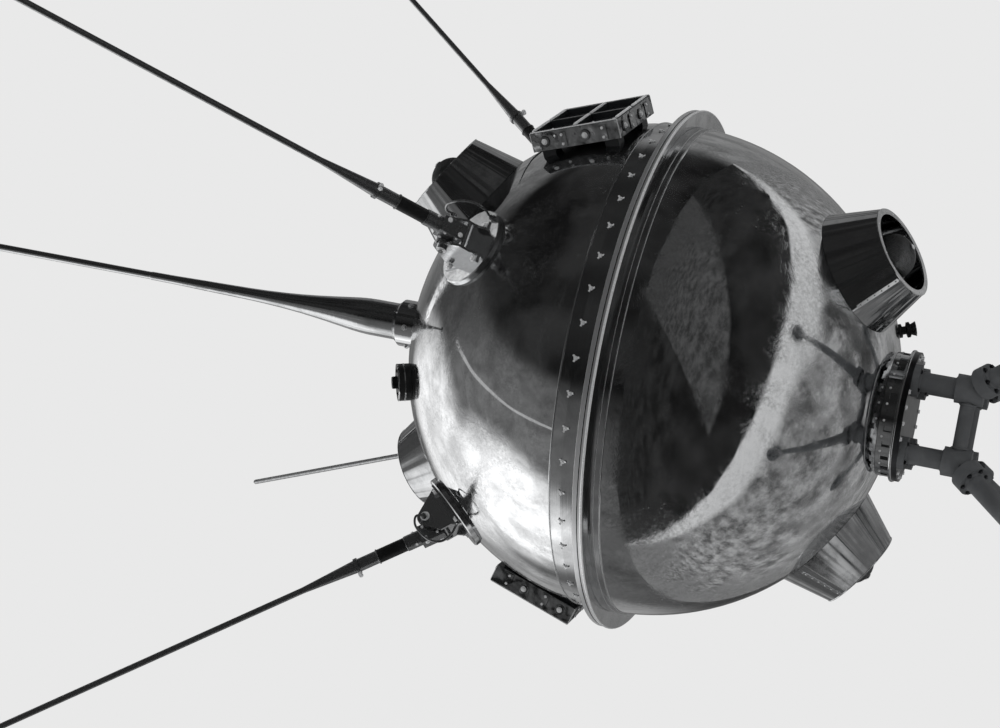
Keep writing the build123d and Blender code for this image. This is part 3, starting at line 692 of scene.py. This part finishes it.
def boom_details():
    """Screws of the boom's socket and the bands of the sensor at the boom's end."""
    bm = bmesh.new()
    for spin in around(AT_CENTRE, 6, 0.3):
        hex_head(bm, spot_at(spin, 59.6, 0, SOCKET_BOLTS_Z, 90), 6, 6)
        slotted_head(bm, spot_at(spin, 29.8, 0, 2290, 90), 2.6, 2)
    hand_over(bm, "boom_screws", "bracket_metal", finish=SATIN_EDGE)
    bm = bmesh.new()
    turn_piece(bm, spot_at(AT_CENTRE, 0, 0, SOCKET_TOP), [
        (47.4, -0.3), (50.5, -0.3), (50.5, 2.0), (49.6, 3.0), (47.4, 3.0)], 64, True)
    for z in SENSOR_BANDS:
        turn_piece(bm, spot_at(AT_CENTRE, 0, 0, z), [
            (29.5, 0), (30.6, 0.4), (30.9, 2), (30.9, 6), (30.6, 7.6), (29.5, 8)], 48, True)
    turn_piece(bm, spot_at(AT_CENTRE, 0, 0, SENSOR_FOOT_Z), [
        (9.8, 0), (14.0, 0), (15.5, 1.5), (15.5, 11.8), (9.8, 11.8)], 40, True)
    hand_over(bm, "boom_rings", "boom_metal")


def connector_details():
    """Bright rims of the two small connectors, and the screws and ribs of their grips."""
    forward = skin_place(*FORWARD_CONNECTOR)
    aft = skin_place(*AFT_CONNECTOR)
    bm = bmesh.new()
    turn_piece(bm, spot_at(forward, 0, 0, 30), [
        (43.6, -2.4), (45.4, -2.4), (45.6, -0.4), (44.8, 0.7),
        (39.4, 0.7), (39.4, -0.2), (43.6, -0.2)], 56, True)
    turn_piece(bm, spot_at(forward, 0, 0, 12), [
        (44.8, 0), (45.7, 0.6), (45.7, 3.4), (44.8, 4)], 56, True)
    turn_piece(bm, spot_at(forward, 0, 0, 43), [
        (11, -0.6), (14.4, -0.6), (14.6, 0.4), (11, 0.5)], 32, True)
    turn_piece(bm, spot_at(aft, 0, 0, 44), [
        (13, -1), (18.2, -1.2), (18.3, 0.2), (13, 0.4)], 32, True)
    hand_over(bm, "connector_rims", "frame_metal", finish=BRIGHT_STRIP)
    bm = bmesh.new()
    for i, spin in enumerate(around(forward, 8)):
        slotted_head(bm, spot_at(spin, 30, 0, 30, 40 * i, "Z"), 3.2, 2.4)
    for spin in around(forward, 30):
        plate_piece(bm, spot_at(spin, 14.2, 0, 36), (1.6, 1.5, 11), 0.3)
    for spin in around(aft, 24):
        plate_piece(bm, spot_at(spin, 18.1, 0, 26), (1.6, 2.2, 7.4), 0.4)
    hand_over(bm, "connector_grips", "connector_black")


def aft_details():
    """Bright rim line of the ring at the lower pole, and the bolts of the plate under it."""
    bm = bmesh.new()
    turn_piece(bm, spot_at(AT_CENTRE, 0, 0, AFT_RING_Z), [
        (156.4, 1), (157.6, 1), (158.2, 2.2), (158.2, 5.8), (157.6, 7), (156.4, 7)], 96, True)
    hand_over(bm, "aft_rim", "frame_metal", finish=BRIGHT_STRIP)
    bm = bmesh.new()
    for spin in around(AT_CENTRE, 24, math.pi / 24):
        hex_head(bm, spot_at(spin, 144, 0, AFT_PLATE_Z, 180), 5, 4.4)
        slotted_head(bm, spot_at(spin, 147.7, 0, -592, 90), 2.8, 2)
    hand_over(bm, "aft_bolts", "bracket_metal", finish=BRIGHT_STEEL)


def stand_details():
    """Bolts and weld beads of the stand's couplings, nodes and pads."""
    bolts, beads = bmesh.new(), bmesh.new()

    def weld(place, radius, low=0.0, sides=40):
        """Bead of weld round a pipe of that radius."""
        outline = [(-1, 0), (4.2, 0), (3.2, 2.0), (1.4, 3.6), (-1, 4.6)]
        turn_piece(beads, place, [(radius + r, z + low) for r, z in outline], sides, True)

    for x in (-STAND_HALF, STAND_HALF):
        for y in (-STAND_HALF, STAND_HALF):
            post = spot_at(ON_FLOOR, x, y, POST_TOP - 16, 180)
            weld(post, POST_R)
            weld(spot_at(ON_FLOOR, x, y, HEAD_Z + 32), POST_R)
            for spin in around(post, 4, 0.78):
                hex_head(bolts, spot_at(spin, 31, 0, 0), 4.6, 5)
    for arm in around(spot_at(ON_FLOOR, 0, 0, HEAD_Z), 4):
        for turn in (0, 180):
            side = spot_at(arm, 0, STAND_HALF, 0, turn, "Z")
            weld(spot_at(side, 34 - STAND_HALF, 0, 0, 90), ARM_R, -1, 36)
    leg_out = STAND_HALF * math.sqrt(2)
    for way in around(ON_FLOOR, 4, math.pi / 4):
        leg = spot_at(way, leg_out, 0, HEAD_Z, 135)
        weld(spot_at(leg, 0, 0, 68), POST_R)
        weld(spot_at(leg, 0, 0, 36, 180), POST_R)
        for spin in around(leg, 6):
            hex_head(bolts, spot_at(spin, 30.6, 0, 68), 4.6, 5)
            hex_head(bolts, spot_at(spin, 30.6, 0, 36, 180), 4.6, 5)
        pad = spot_at(way, leg_out + HEAD_Z - PAD_TOP, 0, PAD_TOP)
        hex_head(bolts, spot_at(pad, 58, 0, 0), 11, 11)
        for k in (120, 240):
            hex_head(bolts, spot_at(pad, 0, 0, 0, k, "Z") @ Matrix.Translation((66, 0, 0)), 9, 8)
        for y in (-31, 31):
            plate_piece(beads, spot_at(pad, 6, y, 17.5), (62, 5, 37), 1.0)
    hand_over(bolts, "stand_bolts", "dark_plate")
    hand_over(beads, "stand_welds", "grey_paint")


band_screws()
frame_beads()
for number, azimuth, splay in WHIPS:
    bracket_hardware(number, azimuth, splay)
    feed_lead(number, azimuth)
    antenna_details(number, azimuth, splay)
for number, polar, azimuth in TRAPS:
    trap_details(number, polar, azimuth)
for number, polar, azimuth, turn in BOXES:
    sensor_case(number, polar, azimuth, turn)
boom_details()
connector_details()
aft_details()
stand_details()


# Studio: plain floor and backdrop to the eye, and a dim hall for the polished metal to mirror

def mirrored_floor(tree, place):
    """Colour of the floor in the metal.

    Painted shade darkens the camera's side to near black, mottled, with one scuffed lane across it.
    A swept white strip runs along the shade, and the floor beyond it is dusty, with one dark stain.
    """
    mottle_noise = add_node(tree, "ShaderNodeTexNoise", {"Scale": 0.9, "Detail": 2.0}, {"Vector": place})
    sway = add_node(tree, "ShaderNodeMapRange", {
        "From Min": 0.3, "From Max": 0.7,
        "To Min": -0.05, "To Max": 0.05}, {"Value": mottle_noise.outputs[0]})
    apart = add_node(tree, "ShaderNodeSeparateXYZ", links={0: place})
    ahead = add_node(tree, "ShaderNodeMath", {"operation": "ADD"}, {
        0: apart.outputs["Y"], 1: sway.outputs[0]})
    front = add_node(tree, "ShaderNodeMapRange", {
        "From Min": -1.06, "From Max": -1.09}, {"Value": ahead.outputs[0]})
    slant = add_node(tree, "ShaderNodeMath", {"operation": "MULTIPLY_ADD", 1: -0.62}, {
        0: apart.outputs["X"], 2: ahead.outputs[0]})
    right = add_node(tree, "ShaderNodeMapRange", {
        "From Min": -1.18, "From Max": -1.23}, {"Value": slant.outputs[0]})
    between = add_node(tree, "ShaderNodeMath", {"operation": "MULTIPLY_ADD", 1: -0.28}, {
        0: apart.outputs["X"], 2: ahead.outputs[0]})
    corner = add_node(tree, "ShaderNodeMapRange", {
        "From Min": -0.95, "From Max": -1.0}, {"Value": between.outputs[0]})
    edges = add_node(tree, "ShaderNodeMath", {"operation": "MAXIMUM"}, {
        0: front.outputs[0], 1: right.outputs[0]})
    spread = add_node(tree, "ShaderNodeMath", {"operation": "MAXIMUM"}, {
        0: edges.outputs[0], 1: corner.outputs[0]})
    # Painted shade: on the camera's side the floor seen in the metal is darkened to near black,
    # mottled by noise.
    painted_shade_mottle = add_node(tree, "ShaderNodeMapRange", {
        "From Min": 0.40, "From Max": 0.62}, {"Value": mottle_noise.outputs[0]})
    shade_tone = add_node(tree, "ShaderNodeMix", {
        "data_type": "RGBA", 6: linear("1C1C1C"), 7: linear("3C3C3C")}, {0: painted_shade_mottle.outputs[0]})

    past = add_node(tree, "ShaderNodeMapRange", {
        "From Min": -1.68, "From Max": -1.76}, {"Value": ahead.outputs[0]})
    lane = add_node(tree, "ShaderNodeMath", {"operation": "MULTIPLY_ADD", 1: 1.5}, {
        0: apart.outputs["X"], 2: ahead.outputs[0]})
    along = add_node(tree, "ShaderNodeMapRange", {
        "From Min": -3.12, "From Max": -2.98}, {"Value": lane.outputs[0]})
    worn = add_node(tree, "ShaderNodeMath", {"operation": "MULTIPLY"}, {
        0: past.outputs[0], 1: along.outputs[0]})
    scuffs = add_node(tree, "ShaderNodeTexNoise", {
        "Scale": 3.0, "Detail": 6.0, "Roughness": 0.7}, {"Vector": place})
    scuffed = add_node(tree, "ShaderNodeMapRange", {
        "From Min": 0.40, "From Max": 0.60}, {"Value": scuffs.outputs[0]})
    board = add_node(tree, "ShaderNodeMix", {
        "data_type": "RGBA", 6: linear("444444"), 7: linear("6A6A6A")}, {0: scuffed.outputs[0]})
    painted_shade_and_lane = add_node(tree, "ShaderNodeMix", {"data_type": "RGBA"}, {
        0: worn.outputs[0], 6: shade_tone.outputs[2], 7: board.outputs[2]})

    swept_front = add_node(tree, "ShaderNodeMapRange", {
        "From Min": -0.60, "From Max": -0.72}, {"Value": ahead.outputs[0]})
    swept_right = add_node(tree, "ShaderNodeMapRange", {
        "From Min": -0.54, "From Max": -0.74}, {"Value": slant.outputs[0]})
    swept = add_node(tree, "ShaderNodeMath", {"operation": "MAXIMUM"}, {
        0: swept_front.outputs[0], 1: swept_right.outputs[0]})
    dusty = add_node(tree, "ShaderNodeMix", {
        "data_type": "RGBA", 6: linear("747474"), 7: linear("D2D2D2")}, {0: scuffed.outputs[0]})
    open_floor = add_node(tree, "ShaderNodeMix", {"data_type": "RGBA", 7: linear("FFFFFF")}, {
        0: swept.outputs[0], 6: dusty.outputs[2]})

    to_stain = add_node(tree, "ShaderNodeVectorMath", {
        "operation": "DISTANCE", 1: (0.74, 0.34, 0.0)}, {0: place})
    stain = add_node(tree, "ShaderNodeMapRange", {
        "interpolation_type": "SMOOTHSTEP",
        "From Min": 0.70, "From Max": 0.36, "To Max": 0.85}, {"Value": to_stain.outputs["Value"]})
    patchy = add_node(tree, "ShaderNodeMapRange", {
        "From Min": 0.46, "From Max": 0.62,
        "To Min": 1.0, "To Max": 0.15}, {"Value": scuffs.outputs[0]})
    damp = add_node(tree, "ShaderNodeMath", {"operation": "MULTIPLY"}, {
        0: stain.outputs[0], 1: patchy.outputs[0]})
    stained = add_node(tree, "ShaderNodeMix", {"data_type": "RGBA", 7: linear("505050")}, {
        0: damp.outputs[0], 6: open_floor.outputs[2]})
    # Painted shade covers the camera's side; the rest of the floor keeps its own tones.
    mirrored = add_node(tree, "ShaderNodeMix", {"data_type": "RGBA"}, {
        0: spread.outputs[0], 6: stained.outputs[2], 7: painted_shade_and_lane.outputs[2]})
    return mirrored.outputs[2]


def pale_floor():
    """Pale painted floor, plain to the eye. Far from the stand it fades into the backdrop."""
    mesh = bpy.data.meshes.new("studio_floor")
    half = 30.0         # metres
    corners = [(-half, -half, 0), (half, -half, 0), (half, half, 0), (-half, half, 0)]
    mesh.from_pydata(corners, [], [(0, 1, 2, 3)])
    floor = bpy.data.objects.new("studio_floor", mesh)
    bpy.context.scene.collection.objects.link(floor)
    mat, tree, surface = blank_material("pale_floor")
    place = add_node(tree, "ShaderNodeTexCoord").outputs["Object"]
    rays = add_node(tree, "ShaderNodeLightPath")
    tone = add_node(tree, "ShaderNodeMix", {"data_type": "RGBA", 6: linear("DCDCDC")}, {
        0: rays.outputs["Is Glossy Ray"], 7: mirrored_floor(tree, place)})
    tree.links.new(tone.outputs[2], surface.inputs["Base Color"])
    surface.inputs["Roughness"].default_value = 0.85
    surface.inputs["Specular IOR Level"].default_value = 0.2

    reach = add_node(tree, "ShaderNodeVectorMath", {"operation": "LENGTH"}, {0: place})
    far = add_node(tree, "ShaderNodeMapRange", {
        "interpolation_type": "SMOOTHSTEP",
        "From Min": 2.5, "From Max": 9.0}, {"Value": reach.outputs["Value"]})
    fade = add_node(tree, "ShaderNodeMath", {"operation": "MULTIPLY"}, {
        0: far.outputs[0], 1: rays.outputs["Is Camera Ray"]})
    backdrop = add_node(tree, "ShaderNodeEmission", {"Color": linear(BACKDROP), "Strength": 1.0})
    faded = add_node(tree, "ShaderNodeMixShader", links={
        0: fade.outputs[0], 1: surface.outputs[0], 2: backdrop.outputs[0]})
    tree.links.new(faded.outputs[0], tree.nodes["Material Output"].inputs["Surface"])
    mesh.materials.append(mat)


def compass(azimuth, height):
    """Unit vector from two angles in degrees."""
    a, h = math.radians(azimuth), math.radians(height)
    return Vector((math.cos(a) * math.cos(h), math.sin(a) * math.cos(h), math.sin(h)))


def lit_part(tree, way, spot, edge, full, bright, dim=0.0, blend="SMOOTHSTEP"):
    """Part of the hall round spot, an azimuth and height.

    It grows from dim to bright between edge and full, two cosines of the angle to spot.
    """
    near = add_node(tree, "ShaderNodeVectorMath", {
        "operation": "DOT_PRODUCT", 1: compass(*spot)}, {0: way})
    part = add_node(tree, "ShaderNodeMapRange", {
        "interpolation_type": blend, "From Min": edge, "From Max": full,
        "To Min": dim, "To Max": bright}, {"Value": near.outputs["Value"]})
    return part.outputs[0]


def pale_walls():
    """Even pale backdrop to the eye.

    In the metal it is a dim hall, with a broad window and a lit doorway on the left, a paler wall
    on the right and dark drapes in front.
    """
    world = bpy.data.worlds.new("studio_walls")
    bpy.context.scene.world = world
    world.use_nodes = True
    tree = world.node_tree
    tree.nodes.clear()
    way = add_node(tree, "ShaderNodeTexCoord").outputs["Generated"]
    rays = add_node(tree, "ShaderNodeLightPath")

    low_panes = lit_part(tree, way, (174, 38), 0.84, 0.97, 1.4)
    high_panes = lit_part(tree, way, (132, 55), 0.87, 0.97, 1.1)
    panes = add_node(tree, "ShaderNodeMath", {"operation": "MAXIMUM"}, {
        0: low_panes, 1: high_panes})
    glow = lit_part(tree, way, (174, 38), 0.2, 1.0, 0.14, blend="LINEAR")
    door = lit_part(tree, way, (120, 20), 0.94, 0.99, 0.30)
    left_wall = lit_part(tree, way, (-142, 42), 0.60, 0.98, 0.07)
    right_wall = lit_part(tree, way, (52, 10), 0.52, 0.97, 0.25, 0.036)
    lit_walls = panes.outputs[0]
    for part in (door, glow, left_wall, right_wall):
        total = add_node(tree, "ShaderNodeMath", {"operation": "ADD"}, {0: lit_walls, 1: part})
        lit_walls = total.outputs[0]
    clutter = add_node(tree, "ShaderNodeTexNoise", {
        "Scale": 6.0, "Detail": 7.0, "Roughness": 0.64, "Distortion": 0.6}, {"Vector": way})
    shade = add_node(tree, "ShaderNodeMapRange", {
        "From Min": 0.36, "From Max": 0.64,
        "To Min": 0.70, "To Max": 1.25}, {"Value": clutter.outputs[0]})
    walls = add_node(tree, "ShaderNodeMath", {"operation": "MULTIPLY"}, {
        0: lit_walls, 1: shade.outputs[0]})

    hung = lit_part(tree, way, (-38, 5), 0.30, 0.46, 1.0)
    mottle_noise = add_node(tree, "ShaderNodeTexNoise", {
        "Scale": 2.2, "Detail": 3.0, "Distortion": 0.6}, {"Vector": way})
    shade_tone = add_node(tree, "ShaderNodeMapRange", {
        "From Min": 0.38, "From Max": 0.66,
        "To Min": 0.008, "To Max": 0.040}, {"Value": mottle_noise.outputs[0]})
    lit = add_node(tree, "ShaderNodeMix", {"data_type": "FLOAT"}, {
        0: hung, 2: walls.outputs[0], 3: shade_tone.outputs[0]})
    grey = add_node(tree, "ShaderNodeCombineColor", links={
        0: lit.outputs[0], 1: lit.outputs[0], 2: lit.outputs[0]})

    seen = add_node(tree, "ShaderNodeBackground", {"Color": linear(BACKDROP), "Strength": 1.0})
    cast = add_node(tree, "ShaderNodeBackground", {"Color": linear("FFFFFF"), "Strength": 0.55})
    mirrored = add_node(tree, "ShaderNodeBackground", {"Strength": 1.0}, {"Color": grey.outputs[0]})
    first = add_node(tree, "ShaderNodeMixShader", links={
        0: rays.outputs["Is Glossy Ray"], 1: cast.outputs[0], 2: mirrored.outputs[0]})
    direct = add_node(tree, "ShaderNodeMath", {"operation": "MAXIMUM"}, {
        0: rays.outputs["Is Camera Ray"], 1: rays.outputs["Is Transmission Ray"]})
    second = add_node(tree, "ShaderNodeMixShader", links={
        0: direct.outputs[0], 1: first.outputs[0], 2: seen.outputs[0]})
    add_node(tree, "ShaderNodeOutputWorld", links={"Surface": second.outputs[0]})


# Each lamp: name, azimuth, height, distance, width, length, brightness, shows in the metal
LAMPS = [
    ("side_lamp", 172, 34, 4.4, 3.6, 3.0, 1.5, False),
    ("right_lamp", 14, 42, 4.6, 2.4, 2.4, 2.9, False),
    ("roof_light", 45, 66, 12.0, 9.0, 0.9, 1.0, True),
    ("strip_lamp", -127, 57, 12.0, 0.26, 13.6, 0.36, True),
]


def soft_lamp(name, azimuth, height, distance, width, length, brightness, mirrored):
    """Soft lamp aimed at the sphere, with a face of the given brightness."""
    away = compass(azimuth, height)
    data = bpy.data.lights.new(name, "AREA")
    data.shape = "RECTANGLE"
    data.size = width
    data.size_y = length
    data.energy = brightness * math.pi * width * length
    lamp = bpy.data.objects.new(name, data)
    lamp.location = CENTRE + away * distance
    lamp.rotation_euler = away.to_track_quat("Z", "Y").to_euler()
    bpy.context.scene.collection.objects.link(lamp)
    lamp.visible_camera = False
    lamp.visible_glossy = mirrored


def photograph_camera():
    """Camera near the floor, looking up at the sphere, turned so that the boom points left."""
    tilt, roll = math.radians(18.02), math.radians(10.80)
    distance = 4.8
    picture_px = (1000, 728)
    sphere_px = (652.79, 369.22)        # centre of the sphere in the picture
    focal_px = 1946.2
    level = math.cos(tilt)
    up = Vector((-level * math.cos(roll), level * math.sin(roll), -math.sin(tilt)))
    near = (Vector((0, 0, 1)) - up * up.z).normalized()
    side = up.cross(near)
    turn = Matrix((side, -near, up))
    right = (sphere_px[0] - picture_px[0] / 2) / focal_px
    down = (sphere_px[1] - picture_px[1] / 2) / focal_px
    to_sphere = Vector((right, -down, -1)).normalized() * distance
    data = bpy.data.cameras.new("photograph_camera")
    data.sensor_fit = "HORIZONTAL"
    data.sensor_width = 36.0
    data.lens = data.sensor_width * focal_px / picture_px[0]
    camera = bpy.data.objects.new("photograph_camera", data)
    camera.matrix_world = Matrix.Translation(CENTRE - turn @ to_sphere) @ turn.to_4x4()
    bpy.context.scene.collection.objects.link(camera)
    bpy.context.scene.camera = camera


pale_floor()
pale_walls()
for lamp in LAMPS:
    soft_lamp(*lamp)
photograph_camera()
bpy.context.scene.view_settings.view_transform = "Standard"
